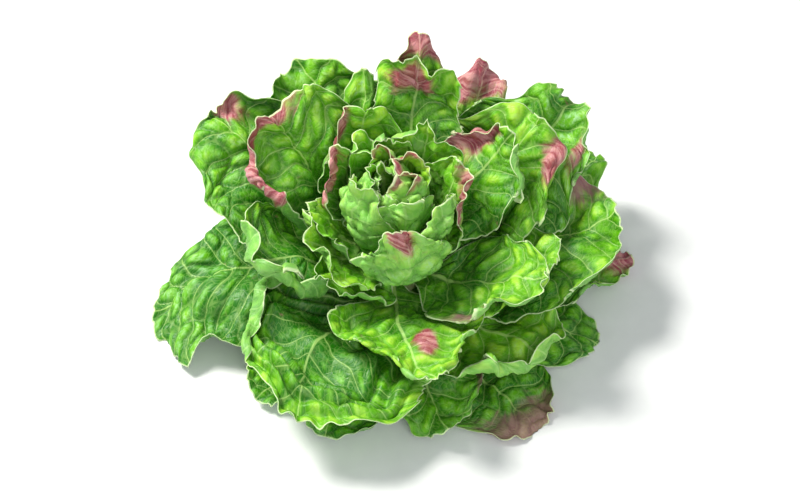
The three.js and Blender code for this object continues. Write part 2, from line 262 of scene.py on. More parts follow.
LEAVES = {
    "ground_leaf_front_right": grown(
        -49, 0, 138, 52, phase=1, tone=-0.75, cool=0.3,
        brown=[(1, -0.1, 0.2, 0.8, 1.1)], bulges=[(0.7, 0.3, 0.12, 0.3, 4)]),
    "ground_leaf_back": grown(84, 1, 146, 60, phase=2, seen=False, tone=-0.65),
    "ground_leaf_left_front": grown(225, 2, 112, 46, phase=3, tone=-1.15, cool=0.1),
    "ground_leaf_right": grown(-15, 2.8, 132, 46, tone=-0.95, cool=0.1),
    "ground_leaf_back_left": grown(132, 4, 150, 58, phase=4, seen=False, tone=-0.55),
    "ground_leaf_front": grown(-110, 5, 116, 46, phase=5, tone=-1.25, cool=0.1),
    "ground_leaf_behind_right": grown(66, 5.2, 148, 52, phase=1, seen=False, tone=-0.55),
    "ground_leaf_far_right": grown(
        11, 6.2, 162, 42, phase=2, tip_width=0.5, tone=-0.35,
        blush=[(1, 0.3, 0.16, 0.7, 1)]),
    "ground_leaf_left": grown(
        168, 7, 157, 66, sway=18, phase=1, tip_width=0.72, tip_round=0.12,
        tone=-1.1, cool=0.6, bulges=[(0.6, 0.32, 0.12, 0.24, 14), (0.9, -0.3, 0.12, 0.25, 4)]),
    "ground_leaf_front_middle": grown(
        -74, 8, 112, 46, phase=2, tone=-0.55, cool=0.3,
        brown=[(0.85, 1, 0.25, 0.25, 0.9)]),
    "ground_leaf_behind_left": grown(103, 8, 152, 58, phase=5, seen=False, tone=-0.45),
    "ground_leaf_back_right": grown(34, 9.2, 168, 52, phase=3, tone=-0.05),

    "outer_leaf_back_right": grown(
        65, 11.4, 167, 44, tip_width=0.55, tone=-0.15,
        blush=[(1, 0.1, 0.14, 0.8, 1), (0.85, 0.8, 0.3, 0.5, 0.9)]),
    "outer_leaf_front_right": grown(
        -38, 12, 125, 54, phase=1, curl_tip=60, curl_tip_from=0.75,
        tone=1, cool=0.4, rolls=[(-0.35, 0.45, 135)], roll_band=16, chance_roll=0.1),
    "outer_leaf_back_left": grown(115, 13.4, 162, 68, phase=3, tone=-0.35, cool=0.4),
    "outer_leaf_front_left": grown(
        231, 14, 137, 82, sway=15, phase=4, tip_width=0.85, curl_minus=100,
        curl_tip=50, curl_tip_from=0.6, tone=0.3, rings=3.4, blister=0.22, chance_roll=0.1,
        # painted shade in the hollow of the bowl
        shades=[(0.62, 0, 0.24, 0.6, -1.7)], rolls=[(-1.1, 0.4, 135)], roll_band=18),
    "outer_leaf_right": grown(
        9, 14.8, 154, 74, phase=2, tip_width=0.8, tone=-0.2,
        blush=[(0.92, 0.75, 0.13, 0.3, 0.9)], brown=[(0.9, 0.7, 0.2, 0.4, 1)], blister=0.8,
        rolls=[(0.85, 0.2, 120)], roll_band=14),
    "outer_leaf_left": grown(
        144, 16.6, 165, 62, phase=5, tone=-0.45, cool=0.4,
        blush=[(0.97, -0.25, 0.09, 0.2, 0.9)]),
    "outer_leaf_far_right": grown(
        38, 18, 172, 56, tone=-0.45, cool=1.2,
        blush=[(0.88, -0.6, 0.08, 0.2, 0.7)]),
    "outer_leaf_back": grown(
        80, 20.4, 160, 38, phase=2, tip_width=0.6, tone=-0.25,
        blush=[(1, -0.1, 0.08, 0.8, 1)]),

    "middle_leaf_right_low": grown(-10, 20.4, 112, 48, phase=4, tip_width=0.7, tone=0.35),
    "middle_leaf_front": grown(
        -86, 22, 118, 56, sway=10, tip_width=0.32, tone=1,
        blush=[(0.67, 0.2, 0.1, 0.14, 0.95)], bulges=[(0.68, 0.22, 0.1, 0.2, 6), (0.5, -0.3, 0.1, 0.2, 4)]),
    "middle_leaf_left": grown(
        190, 24, 112, 50, phase=1, curl_tip=60, cool=0.3,
        shades=[(0.7, 0.1, 0.2, 0.6, -0.8), (0.9, 1, 0.6, 0.35, 0.8)], rolls=[(0.75, 0.75, 135)],
        roll_band=17, chance_roll=0.05),
    "middle_leaf_back_low": grown(102, 23.2, 130, 30, phase=3, tip_width=0.6, tone=0.25, cool=1),
    "middle_leaf_right": grown(
        34, 24.4, 138, 58, phase=2, tone=0.55,
        blush=[(0.93, -0.5, 0.1, 0.25, 0.85)]),
    "middle_leaf_right_front": grown(
        -31, 26.9, 120, 43, phase=1.5, tip_width=0.62, tone=0.55,
        brown=[(0.75, -0.9, 0.14, 0.3, 0.7)]),
    "middle_leaf_back": grown(
        79, 26.4, 148, 34, phase=4, curl_tip=40, tip_width=0.8,
        tip_round=0.15, tone=0.15, blush=[(0.88, 0.1, 0.1, 0.5, 1)]),
    "middle_leaf_back_left": grown(
        141, 29, 134, 73, curl_plus=110, widest=0.95,
        tone=0.3, cool=0.4, chance_roll=0.4, blush=[(1, 0.3, 0.08, 0.6, 1), (0.9, 1, 0.19, 0.45, 1.7)],
        rolls=[(0.45, 0.25, 40)], roll_band=15),

    "inner_leaf_right": grown(
        33, 29.6, 120, 38, phase=1,
        blush=[(0.85, 0.75, 0.22, 0.5, 1)]),
    "inner_leaf_left": grown(229, 30.7, 57, 34, phase=2, curl_tip=50, tone=0.9, cool=0.5),
    "inner_leaf_back": grown(
        106, 31.8, 108, 40, phase=2, tone=0.6, cool=0.4,
        blush=[(0.98, 0.6, 0.14, 0.35, 1)]),
    "inner_leaf_back_right": grown(64, 34.4, 94, 34, phase=4, tone=0.6, cool=0.4),

    "heart_leaf_left_front": grown(205, 33.2, 76, 46, phase=4, tone=1.5, cool=1),
    "heart_leaf_front": grown(
        -79, 35.8, 98, 42, tip_width=0.48,
        tone=1.4, cool=0.9, blush=[(0.96, 0, 0.16, 0.34, 1)]),
    "heart_leaf_left": grown(184, 35.8, 66, 27, phase=1, tone=1.1, cool=0.5),
    "heart_leaf_back_left": grown(
        134, 38, 86, 33, phase=2, tone=0.7, cool=0.7,
        blush=[(0.9, 0.7, 0.3, 0.5, 0.9)]),
    "heart_leaf_right": grown(
        21, 36.8, 82, 39, phase=1, tone=1, cool=0.8,
        blush=[(0.95, -0.6, 0.16, 0.6, 0.9)]),
    "heart_leaf_back": grown(102, 40.3, 84, 29, phase=5, tone=0.4, cool=0.4),
    "heart_leaf_right_front": grown(-28, 39.4, 76, 34, phase=3, tone=1.1, cool=0.8),
}


def ramp(x, low, high):
    """0 below low, 1 above high, and an even s-curve between them."""
    t = np.clip((x - low) / (high - low), 0, 1)
    return t * t * (3 - 2 * t)


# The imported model's forms, for whole grids of points at once.


def stem_radius(z):
    swelling = np.sin(np.clip(z / STEM_BULGE_HEIGHT, 0, 1) * math.pi / 2)
    below = STEM_CUT_RADIUS + (STEM_BULGE_RADIUS - STEM_CUT_RADIUS) * swelling
    t = (z - STEM_BULGE_HEIGHT) / (STEM_HEIGHT - STEM_BULGE_HEIGHT)
    above = STEM_BULGE_RADIUS + (STEM_TOP_RADIUS - STEM_BULGE_RADIUS) * ramp(t, *STEM_TAPER)
    return np.where(z < STEM_BULGE_HEIGHT, below, above)


def shell_at(level, azimuth):
    """A shell's reach and its three pitches at an azimuth, mixed from the nearest rows and directions."""
    upper = next(i for i, row in enumerate(SHELLS) if row["level"] > level)
    low, high = SHELLS[upper - 1], SHELLS[upper]
    t = (level - low["level"]) / (high["level"] - low["level"])
    sideways = np.cos(azimuth) ** 2

    def mixed(row, k):
        across = np.where(np.cos(azimuth) > 0, row["right"][k], row["left"][k])
        away = np.where(np.sin(azimuth) > 0, row["back"][k], row["front"][k])
        return across * sideways + away * (1 - sideways)

    pitches = [mixed(low, k) * (1 - t) + mixed(high, k) * t for k in range(3)]
    return low["reach"] * (1 - t) + high["reach"] * t, pitches


def profile_at(leaf, azimuth, distance):
    """Radius, height and pitch of a leaf's shell at an azimuth, some way out along it from the stem."""
    reach, (rise, belly, fall) = shell_at(leaf["level"], azimuth)

    def pitch_at(s):
        t = s / reach
        roll = leaf["curl_tip"] * ramp(s / leaf["length"], leaf["curl_tip_from"], TIP_END)
        return np.radians(rise * (1 - t) ** 2 + 2 * belly * t * (1 - t) + fall * t**2 + roll)

    root = LOWEST_ROOT + ROOT_RISE_PER_LEVEL * leaf["level"]
    radius = stem_radius(root) + NEIGHBOUR_GAP
    height = root
    step = distance / PROFILE_STEPS
    for i in range(PROFILE_STEPS):
        pitch = pitch_at((i + 0.5) * step)
        radius = radius + np.cos(pitch) * step
        height = height + np.sin(pitch) * step
    return radius, height, pitch_at(distance)


def half_width_at(leaf, u):
    opening = ramp(u, 0, leaf["widest"])
    closing = 1 - (1 - leaf["tip_width"]) * ramp(u, NARROWING_STARTS, TIP_END)
    return ROOT_HALF_WIDTH + (leaf["half_width"] - ROOT_HALF_WIDTH) * opening * closing


def angle_round(u, v):
    """The angle of a point round the blade, 0 towards the tip."""
    return np.arctan2(v * ACROSS_SHARE, u - ROUND_FROM)


def blade_points(leaf, u, v):
    """Points of the blade's middle surface: u runs from root to tip, v from -1 to 1 across."""
    side = np.sign(v)
    curl_angle = np.radians(np.where(v < 0, leaf["curl_minus"], leaf["curl_plus"]))
    curl = curl_angle * ramp(u, *CURL_RISE)
    flat = np.where(curl_angle > 0, np.minimum(abs(v), leaf["curl_from"]), abs(v))
    rounding = leaf["tip_round"] * abs(v) ** TIP_ROUND_ACROSS * u**TIP_ROUND_ALONG
    distance = (u - rounding) * leaf["length"]
    width = half_width_at(leaf, u)
    heading = np.radians(leaf["azimuth"] + leaf["sway"] * u * u)
    middle_radius, _, _ = profile_at(leaf, heading, distance)
    turn = np.clip(flat * width / middle_radius, 0, math.radians(MOST_TURN))
    azimuth = heading + side * turn
    radius, height, pitch = profile_at(leaf, azimuth, distance)
    zero = np.zeros_like(azimuth)
    outwards = np.stack([np.cos(azimuth), np.sin(azimuth), zero], -1)
    across = np.stack([-np.sin(azimuth), np.cos(azimuth), zero], -1)
    up = outwards * -np.sin(pitch)[..., None]
    up[..., 2] = np.cos(pitch)
    point = outwards * radius[..., None]
    point[..., 2] = height
    step = (abs(v) - flat) * width / CURL_STEPS
    for i in range(CURL_STEPS):
        angle = curl * ramp((i + 0.5) * step / width, 0, TIP_END - leaf["curl_from"])
        point = point + across * (side * np.cos(angle) * step)[..., None]
        point = point + up * (np.sin(angle) * step)[..., None]
    margin = 1 - (1 - np.minimum(abs(v), 1) ** RUFFLE_ACROSS) * (1 - np.minimum(u, 1) ** RUFFLE_ALONG)
    size = leaf["ruffle"] * margin * ramp(u, *RUFFLE_RISE)
    size = size * ramp(height, *RUFFLE_Z)
    ruffle = size * np.sin(leaf["waves"] * angle_round(u, v) + leaf["phase"])
    return crumpled(waved(point + up * ruffle[..., None]))


def waved(point):
    """The slow waves that all leaves share, in a few directions. They die out towards stem and ground."""
    x, y, z = point[..., 0], point[..., 1], point[..., 2]
    radius = np.hypot(x, y)
    size = WAVE_HEIGHT * ramp(radius, *WAVE_RADII) * ramp(z, *WAVE_Z)
    k = 2 * math.pi / WAVE_LENGTH
    crossed = np.sin(k * (x + 0.3 * z)) * np.cos(k * (0.9 * y - 0.2 * x))
    lift = crossed + SECOND_WAVE * np.sin(k * (0.7 * x + 1.1 * y) + 2)
    push = np.sin(k * (0.6 * y + 0.8 * z)) * np.cos(k * 0.8 * x + 1)
    outwards = 1 + size * push / radius
    return np.stack([x * outwards, y * outwards, z + size * lift], -1)


# Seeded tables repeat after this many steps, and no border of a cell is as far away as the far distance.
SPACE_TABLE = 16
LEAF_TABLE = 48
FAR = 9.0
LEAST_LENGTH = 1e-9


class SpacePattern:
    """A seeded pattern in space that changes about every 1, read as noise or as cells."""

    def __init__(self, seed):
        self.table = np.random.default_rng(seed).random((SPACE_TABLE,) * 3 + (3,))

    def picked(self, cell):
        index = cell % SPACE_TABLE
        return self.table[index[..., 0], index[..., 1], index[..., 2]]

    def noise(self, place):
        """Smooth vectors with parts from -1 to 1."""
        low = np.floor(place).astype(int)
        share = ramp(place - low, 0, 1)
        total = 0
        for corner in np.ndindex(2, 2, 2):
            weight = np.prod(np.where(corner, share, 1 - share), axis=-1, keepdims=True)
            total = total + weight * (self.picked(low + corner) * 2 - 1)
        return total

    def to_border(self, place):
        """How far a point is from the border of its cell."""
        low = np.floor(place).astype(int)
        nearest = np.full(place.shape[:-1], FAR)
        second = nearest
        for step in np.ndindex(3, 3, 3):
            cell = low + step - 1
            distance = np.linalg.norm(cell + self.picked(cell) - place, axis=-1)
            second = np.where(distance < nearest, nearest, np.minimum(second, distance))
            nearest = np.minimum(nearest, distance)
        return (second - nearest) / 2


CRUMPLE_PATTERNS = [SpacePattern(seed) for seed in range(len(CRUMPLES))]


def crumpled(point):
    """Moves points by noise that all leaves share, so that neighbours crumple together."""
    radius, z = np.hypot(point[..., 0], point[..., 1]), point[..., 2]
    inside = ramp(z, *HEART_CRUMPLE_Z)
    inside = inside * (1 - ramp(radius, *HEART_CRUMPLE_RADII))
    outside = ramp(radius, *CRUMPLE_RADII)
    size = np.maximum(outside, inside) * ramp(z, *CRUMPLE_Z)
    size = size * (1 + EXTRA_HEART_CRUMPLE * inside)
    moved = point
    for (height, distance), pattern in zip(CRUMPLES, CRUMPLE_PATTERNS):
        moved = moved + height * size[..., None] * pattern.noise(point / distance)
    return moved


QUILT_PATTERN = SpacePattern(QUILT_SEED)


def quilted(point):
    """Swells the heart's leaves out between shared seams. Also gives the distance to the nearest seam."""
    to_seam = QUILT_PATTERN.to_border(point / QUILT_CELL) * QUILT_CELL
    away = point - np.array(QUILT_MIDDLE)
    radius = np.linalg.norm(away, axis=-1)
    size = QUILT_HEIGHT * (1 - ramp(radius, *QUILT_RADII))
    size = size * ramp(point[..., 2], *QUILT_Z)
    swell = size * (pillow(to_seam, QUILT_WIDTH) - QUILT_SINK)
    return point + unit(away) * swell[..., None], to_seam


# Random but repeatable patterns.


class Pattern:
    """A leaf's own seeded noise and cells, drawn from small tables that repeat beyond its size."""

    ROWS = dict(tooth=0, roll=5, lobe=9, frill_size=11, tip_lobe=21, tip_tooth=31, frill=40)

    def __init__(self, seed):
        random = np.random.default_rng(seed)
        self.heights = random.random((LEAF_TABLE, LEAF_TABLE))
        self.seeds = random.random((LEAF_TABLE, LEAF_TABLE, 2))

    def noise(self, x, y):
        """Smooth noise from -1 to 1, with bumps about 1 apart."""
        i, j = np.floor(x).astype(int), np.floor(y).astype(int)
        a, b = ramp(x - i, 0, 1), ramp(y - j, 0, 1)

        def at(right, up):
            return self.heights[(i + right) % LEAF_TABLE, (j + up) % LEAF_TABLE]

        near = at(0, 0) * (1 - a) + at(1, 0) * a
        far = at(0, 1) * (1 - a) + at(1, 1) * a
        return (near * (1 - b) + far * b) * 2 - 1

    def line(self, x, use, shift=0):
        """Smooth noise along one row of the table, for what changes in one direction only."""
        return self.noise(x, 0 * x + self.ROWS[use] + shift)

    def to_border(self, x, y, scatter):
        """How far a point is from the border of its cell. Cells are about 1 across."""
        i, j = np.floor(x).astype(int), np.floor(y).astype(int)
        nearest = np.full(np.shape(x), FAR)
        second = nearest
        for right in (-1, 0, 1):
            for up in (-1, 0, 1):
                seed = self.seeds[(i + right) % LEAF_TABLE, (j + up) % LEAF_TABLE]
                to_x = i + right + 0.5 + scatter * (seed[..., 0] - 0.5) - x
                to_y = j + up + 0.5 + SIDEWAYS_SCATTER * (seed[..., 1] - 0.5) - y
                distance = np.hypot(to_x, to_y)
                second = np.where(distance < nearest, nearest, np.minimum(second, distance))
                nearest = np.minimum(nearest, distance)
        return (second - nearest) / 2


def pillow(distance, width):
    """A cushion's height from 0 at its seam to 1, reached a width away from it."""
    return 1 - (1 - np.clip(distance / width, 0, 1)) ** 2


def spot(u, v, at):
    """A soft spot of (along, across, spread along, spread across, strength)."""
    away = ((u - at[0]) / at[2]) ** 2 + ((v - at[1]) / at[3]) ** 2
    return at[4] * np.exp(-(away**1.5))


# A leaf as a grid of points with what its relief and its material need to know.


def margin_place(u, v):
    """Where a point lies round the blade: 0 towards the tip, 1 and -1 half way along the sides."""
    return angle_round(u, v) / (math.pi / 2)


def set_roll(leaf, place):
    """The angle by which the margin is rolled up at a place, apart from chance."""
    angle = np.zeros_like(place)
    for at, spread, degrees in leaf["rolls"]:
        angle = angle + degrees * np.exp(-(((place - at) / spread) ** 2))
    return angle


def looseness(leaf, u, v):
    """1 where the margin is free to ruffle, and 0 where it is rolled up tight."""
    return 1 - ramp(set_roll(leaf, margin_place(u, v)), *TIGHTENING)


def cut_margin(leaf, u, v, pattern):
    """Moves the outline in and out, for the blade's lobes and its fine blunt teeth."""
    length, width = leaf["length"], leaf["half_width"]
    along, across = u * length, v * width
    side = LOBE * pattern.line(along / LOBE_LENGTH, "lobe", SIDE_ROWS_APART * np.sign(v))
    side = side + TOOTH * pattern.line(along / TOOTH_LENGTH, "tooth")
    tip = LOBE * pattern.line(across / TIP_LOBE_LENGTH, "tip_lobe")
    tip = tip + TOOTH * pattern.line(across / TIP_TOOTH_LENGTH, "tip_tooth")
    cut = ROLLED_TEETH + (1 - ROLLED_TEETH) * looseness(leaf, u, v)
    new_v = v * (1 + cut * side * ramp(u, *TEETH_RISE) / width * abs(v) ** TEETH_ACROSS)
    new_u = u * (1 + cut * tip / length * u**TEETH_ALONG)
    return new_u, new_v


def leaf_grid(leaf, spacing):
    rows = max(FEWEST_STEPS, round(leaf["length"] / spacing))
    columns = max(FEWEST_STEPS, round(MEAN_WIDTH * leaf["half_width"] / spacing))
    u = np.linspace(0, 1, rows + 1)[:, None] ** ROW_CROWDING + np.zeros(columns + 1)
    even = np.linspace(-1, 1, columns + 1)[None, :] + np.zeros((rows + 1, 1))
    v = np.sign(even) * abs(even) ** COLUMN_CROWDING
    return u, v


def surface_facts(leaf, u, v, pattern):
    """Where each point lies among the veins, blisters, margin and patches of its leaf."""
    width = half_width_at(leaf, u)
    along, across = u * leaf["length"], v * width
    out = abs(across)
    wander = pattern.noise(along / WANDER_LENGTH, across / WANDER_LENGTH)
    shifted = VEIN_ALTERNATION * np.sign(v) * ramp(out, 0, VEIN_ALTERNATION_FULL)
    line = (along - VEIN_LEAN * out - VEIN_BEND * out**2) / VEIN_SPACING + shifted + VEIN_WANDER * wander
    to_vein = abs((line + 0.5) % 1 - 0.5) * VEIN_SPACING * VEIN_SLANT
    onward = line * VEIN_SPACING / CELL
    aside = out / CELL + SIDES_APART * (v > 0) + CELL_WANDER * wander
    to_seam = np.minimum(to_vein, pattern.to_border(onward + 0.5, aside, CELL_SCATTER) * CELL)
    fine = FINE_CELL / CELL
    to_fine_seam = pattern.to_border(onward / fine + FINE_CELL_SHIFT, aside / fine, FINE_CELL_SCATTER)
    near_side = np.exp(-(1 - abs(v)) * width / CORNER_BLEND)
    near_tip = np.exp(-(1 - u) * leaf["length"] / CORNER_BLEND)
    edge = np.maximum(-CORNER_BLEND * np.log(near_side + near_tip), 0)
    rim = np.minimum((1 - abs(v)) * width, (1 - u) * leaf["length"])
    return dict(
        along=along, across=across, line=line, aside=aside, to_vein=to_vein, to_seam=to_seam,
        to_fine_seam=to_fine_seam * FINE_CELL, edge=edge, rim=rim, wander=wander, reach=u,
        rib=across / (MIDRIB_LINE + MIDRIB_LINE_TAPER * (1 - u)),
        to_side_share=near_side / (near_side + near_tip),
        blush=sum((spot(u, v, at) for at in leaf["blush"]), np.zeros_like(u)),
        brown=sum((spot(u, v, at) for at in leaf["brown"]), np.zeros_like(u)),
        # the tone with the leaf's darker and lighter spots, among them painted shade in a hollow
        tone=sum((spot(u, v, at) for at in leaf["shades"]), np.full_like(u, leaf["tone"])),
    )


def relief(leaf, u, v, facts, pattern):
    """How far the surface stands above or below the leaf's smooth shell, in millimetres."""
    along, across, edge = facts["along"], facts["across"], facts["edge"]
    opening = ramp(u, *RELIEF_RISE)
    blisters = BLISTER_HEIGHT * (pillow(facts["to_seam"], BLISTER_WIDTH) - BLISTER_SINK)
    blisters = blisters * ramp(edge, 0, BLISTERS_FULL)
    fine = FINE_BLISTER_HEIGHT * (pillow(facts["to_fine_seam"], FINE_BLISTER_WIDTH) - FINE_BLISTER_SINK)
    patchy = pattern.noise(along / UNEVEN_LENGTH + UNEVEN_SHIFT, across / UNEVEN_LENGTH)
    uneven = 1 - UNEVEN_SHARE + UNEVEN_SHARE * patchy
    height = leaf["blister"] * opening * uneven * (blisters + fine)
    rib_width = MIDRIB_WIDTH - MIDRIB_TAPER * u
    groove = np.exp(-((across / (rib_width + GROOVE_EXTRA_WIDTH)) ** 2))
    height = height - MIDRIB_HEIGHT * opening * groove
    height = height + MIDRIB_HEIGHT * np.exp(-((across / (MIDRIB_CREST * rib_width)) ** 2))
    around = angle_round(u, v)
    frill_size = MARGIN_FRILL * np.exp(-edge / FRILL_REACH) * opening * looseness(leaf, u, v)
    frill_shift = FRILL_SHIFT * pattern.line(around * FRILL_SHIFTS_PER_RADIAN, "frill")
    frill = np.sin(FRILLS_PER_RADIAN * around + frill_shift + leaf["phase"])
    chance = pattern.line(around * FRILL_SIZES_PER_RADIAN, "frill_size")
    height = height + frill_size * frill * (FRILL_SIZES[0] + FRILL_SIZES[1] * chance)
    band = ramp(edge, *RINGS_BEGIN) * (1 - ramp(edge, *RINGS_END))
    rings = np.sin(edge * 2 * math.pi / RING_SPACING + facts["wander"])
    height = height + leaf["rings"] * band * rings
    for bulge in leaf["bulges"]:
        height = height + spot(u, v, bulge)
    return height


def unit(vectors):
    return vectors / np.maximum(np.linalg.norm(vectors, axis=-1, keepdims=True), LEAST_LENGTH)


def normals_of(points):
    return unit(np.cross(np.gradient(points, axis=0), np.gradient(points, axis=1)))


def softened(vectors):
    """A grid of vectors, each mixed a few times with its neighbours."""
    for axis in (0, 1):
        for _ in range(SOFTENING_ROUNDS):
            ahead = np.roll(vectors, -1, axis)
            behind = np.roll(vectors, 1, axis)
            inner = (slice(1, -1), slice(None)) if axis == 0 else (slice(None), slice(1, -1))
            mixed = (2 * vectors + ahead + behind) / 4
            vectors = vectors.copy()
            vectors[inner] = mixed[inner]
    return unit(vectors)


def rolled(leaf, u, v, points, facts, most, pattern):
    """Rolls the margin up, or down where the angle is negative. A chance roll keeps to the room it has."""
    place = margin_place(u, v)
    chance = pattern.line(place * CHANCE_ROLLS + CHANCE_ROLL_SHIFT, "roll")
    angle = CHANCE_ROLL * leaf["chance_roll"] * chance
    angle = np.radians(angle * np.minimum(most / ROLL_ROOM, 1) + set_roll(leaf, place))
    angle = np.where(abs(angle) < LEAST_ROLL, LEAST_ROLL, angle)
    band = leaf["roll_band"]
    turned = np.clip(1 - facts["edge"] / band, 0, 1) * ramp(u, *ROLL_RISE)
    inwards = band * (np.sin(angle * turned) / angle - turned)
    lift = band * (1 - np.cos(angle * turned)) / angle
    sideways = unit(np.gradient(points, axis=1)) * (np.sign(v) * facts["to_side_share"])[..., None]
    onwards = unit(np.gradient(points, axis=0)) * (1 - facts["to_side_share"])[..., None]
    outwards, up = softened(sideways + onwards), softened(normals_of(points))
    return points + outwards * inwards[..., None] + up * lift[..., None]


def room_round(leaves):
    """For each leaf, a coarse grid of the distance to the nearest other leaf."""
    rough = {}
    for name, leaf in leaves.items():
        u = np.linspace(0, 1, ROOM_ROWS + 1)[:, None] + np.zeros(ROOM_COLUMNS + 1)
        v = np.linspace(-1, 1, ROOM_COLUMNS + 1)[None, :] + np.zeros((ROOM_ROWS + 1, 1))
        rough[name] = blade_points(leaf, u, v)
    quads = grid_quads(ROOM_ROWS, ROOM_COLUMNS)
    room = {}
    for name, points in rough.items():
        others = [rough[other].reshape(-1, 3) for other in rough if other != name]
        corners = np.concatenate(others)
        count = len(others[0])
        faces = np.concatenate([quads + i * count for i in range(len(others))])
        tree = BVHTree.FromPolygons(corners.tolist(), faces.tolist())
        distances = [tree.find_nearest(p)[3] for p in points.reshape(-1, 3).tolist()]
        room[name] = np.array(distances).reshape(points.shape[:2])
    return room


def sampled(grid, u, v):
    """A coarse grid's values at u and v, read between its points."""
    rows, columns = grid.shape[0] - 1, grid.shape[1] - 1
    x = np.clip(u, 0, 1) * rows
    y = (np.clip(v, -1, 1) + 1) / 2 * columns
    i, j = np.minimum(x.astype(int), rows - 1), np.minimum(y.astype(int), columns - 1)
    a, b = x - i, y - j
    near = grid[i, j] * (1 - a) + grid[i + 1, j] * a
    far = grid[i, j + 1] * (1 - a) + grid[i + 1, j + 1] * a
    return near * (1 - b) + far * b


def leaf_surface(leaf, room, spacing, seed):
    """The upper and lower grids of one leaf, and the facts for its material."""
    pattern = Pattern(seed)
    u, v = leaf_grid(leaf, spacing)
    facts = surface_facts(leaf, u, v, pattern)
    cut_u, cut_v = cut_margin(leaf, u, v, pattern)
    middle = blade_points(leaf, cut_u, cut_v)
    most = np.maximum(ROOM_SHARE * (sampled(room, u, v) - BLADE_THICKNESS), LEAST_ROOM)
    middle = rolled(leaf, u, v, middle, facts, most, pattern)
    height = relief(leaf, u, v, facts, pattern)
    middle = middle + normals_of(middle) * (most * np.tanh(height / most))[..., None]
    if leaf["level"] > QUILT_LEVEL:
        middle, facts["to_seam"] = quilted(middle)
    normal = normals_of(middle)
    edge = facts["edge"]
    thickness = BLADE_THICKNESS / 2 * (THIN_EDGE + (1 - THIN_EDGE) * ramp(edge, 0, THIN_EDGE_WIDTH))
    base_rib = ROOT_RIB * (1 - ramp(u, 0, ROOT_RIB_ENDS)) * (1 - abs(v)) ** 1.5
    vein_rib = VEIN_RIB * np.exp(-((facts["to_vein"] / VEIN_RIB_WIDTH) ** 2))
    vein_rib = vein_rib * ramp(edge, *VEIN_RIB_INWARDS) * ramp(u, *VEIN_RIB_RISE)
    ribs = np.minimum(base_rib + vein_rib, LEAST_ROOM + most + base_rib)
    top = middle + normal * thickness[..., None]
    bottom = middle - normal * (thickness + ribs)[..., None]
    for grid in (top, bottom):
        set_on_stem(grid[0])
        grid[..., 2] = np.maximum(grid[..., 2], FLOOR_GAP)
    return top, bottom, facts


def set_on_stem(points):
    """Moves the root's points straight in or out, to lie against the stem."""
    share = (stem_radius(points[..., 2]) + NEIGHBOUR_GAP) / np.hypot(points[..., 0], points[..., 1])
    points[..., 0] *= share
    points[..., 1] *= share


# Meshes.


def grid_quads(rows, columns):
    i, j = np.meshgrid(np.arange(rows), np.arange(columns), indexing="ij")
    a = (i * (columns + 1) + j).ravel()
    return np.stack([a, a + columns + 1, a + columns + 2, a + 1], 1)


def rim_quads(rows, columns):
    across = columns + 1
    below = (rows + 1) * across
    rim = list(range(columns))
    rim += [i * across + columns for i in range(rows)]
    rim += [rows * across + j for j in range(columns, 0, -1)]
    rim += [i * across for i in range(rows, 0, -1)]
    a = np.array(rim)
    b = np.roll(a, -1)
    return np.stack([a, b, below + b, below + a], 1)


def shell_mesh(top, bottom):
    """Corners and faces of a closed blade: its two grids and the rim between them."""
    rows, columns = top.shape[0] - 1, top.shape[1] - 1
    corners = np.concatenate([top.reshape(-1, 3), bottom.reshape(-1, 3)])
    upper = grid_quads(rows, columns)
    lower = upper[:, ::-1] + (rows + 1) * (columns + 1)
    return corners, np.concatenate([upper, lower, rim_quads(rows, columns)])


SHADED_FACTS = ("line", "aside", "to_seam", "to_fine_seam", "rim", "blush", "brown", "tone",
                "reach", "rib")


def shell_attributes(leaf, facts):
    """The values that the leaf material reads at each corner of a closed blade."""
    both = {key: np.tile(facts[key].ravel(), 2) for key in SHADED_FACTS}
    count = facts["edge"].size
    both["underside"] = np.repeat([0.0, 1.0], count)
    # how strong each leaf's painted bluish highlight is
    both["cool"] = np.full(2 * count, leaf["cool"], float)
    place = np.stack([facts["along"], facts["across"], 0 * facts["across"]], -1).reshape(-1, 3)
    return both, np.tile(place, (2, 1))


def scene_object(name, data):
    made = bpy.data.objects.new(name, data)
    bpy.context.scene.collection.objects.link(made)
    return made


def mesh_object(name, corners, faces, attributes, place, material):
    mesh = bpy.data.meshes.new(name)
    mesh.from_pydata((corners * MM).tolist(), [], faces)
    for key, values in attributes.items():
        mesh.attributes.new(key, "FLOAT", "POINT").data.foreach_set("value", values.astype(np.float32))
    where = mesh.attributes.new("place", "FLOAT_VECTOR", "POINT")
    where.data.foreach_set("vector", place.astype(np.float32).ravel())
    mesh.shade_smooth()
    mesh.materials.append(material)
    return scene_object(name, mesh)


def joined(parts):
    """Several (corners, faces, attributes, place) as one."""
    starts = np.cumsum([0] + [len(part[0]) for part in parts[:-1]])
    corners = np.concatenate([part[0] for part in parts])
    faces = np.concatenate([part[1] + start for part, start in zip(parts, starts)])
    attributes = {key: np.concatenate([part[2][key] for part in parts]) for key in parts[0][2]}
    return corners, faces, attributes, np.concatenate([part[3] for part in parts])


def leaf_part(leaf, room, spacing, seed):
    top, bottom, facts = leaf_surface(leaf, room, spacing, seed)
    corners, faces = shell_mesh(top, bottom)
    return corners, faces, *shell_attributes(leaf, facts)


def heart_leaves():
    leaves = {}
    for i in range(HEART_LEAVES):
        place = {key: HEART_FIRST_LEAF[key] + HEART_STEP[key] * i for key in HEART_STEP}
        place["length"] += HEART_UNEVENNESS * math.sin(HEART_UNEVEN_TURN * i)
        leaves[f"heart_{i}"] = grown(
            **place, waves=HEART_WAVES, roll_band=HEART_ROLL_BAND, chance_roll=HEART_ROLL, cool=1,
            tone=HEART_TONE + HEART_TONE_STEP * i, blush=[HEART_BLUSH] if i in HEART_BLUSHED else ())
    return leaves


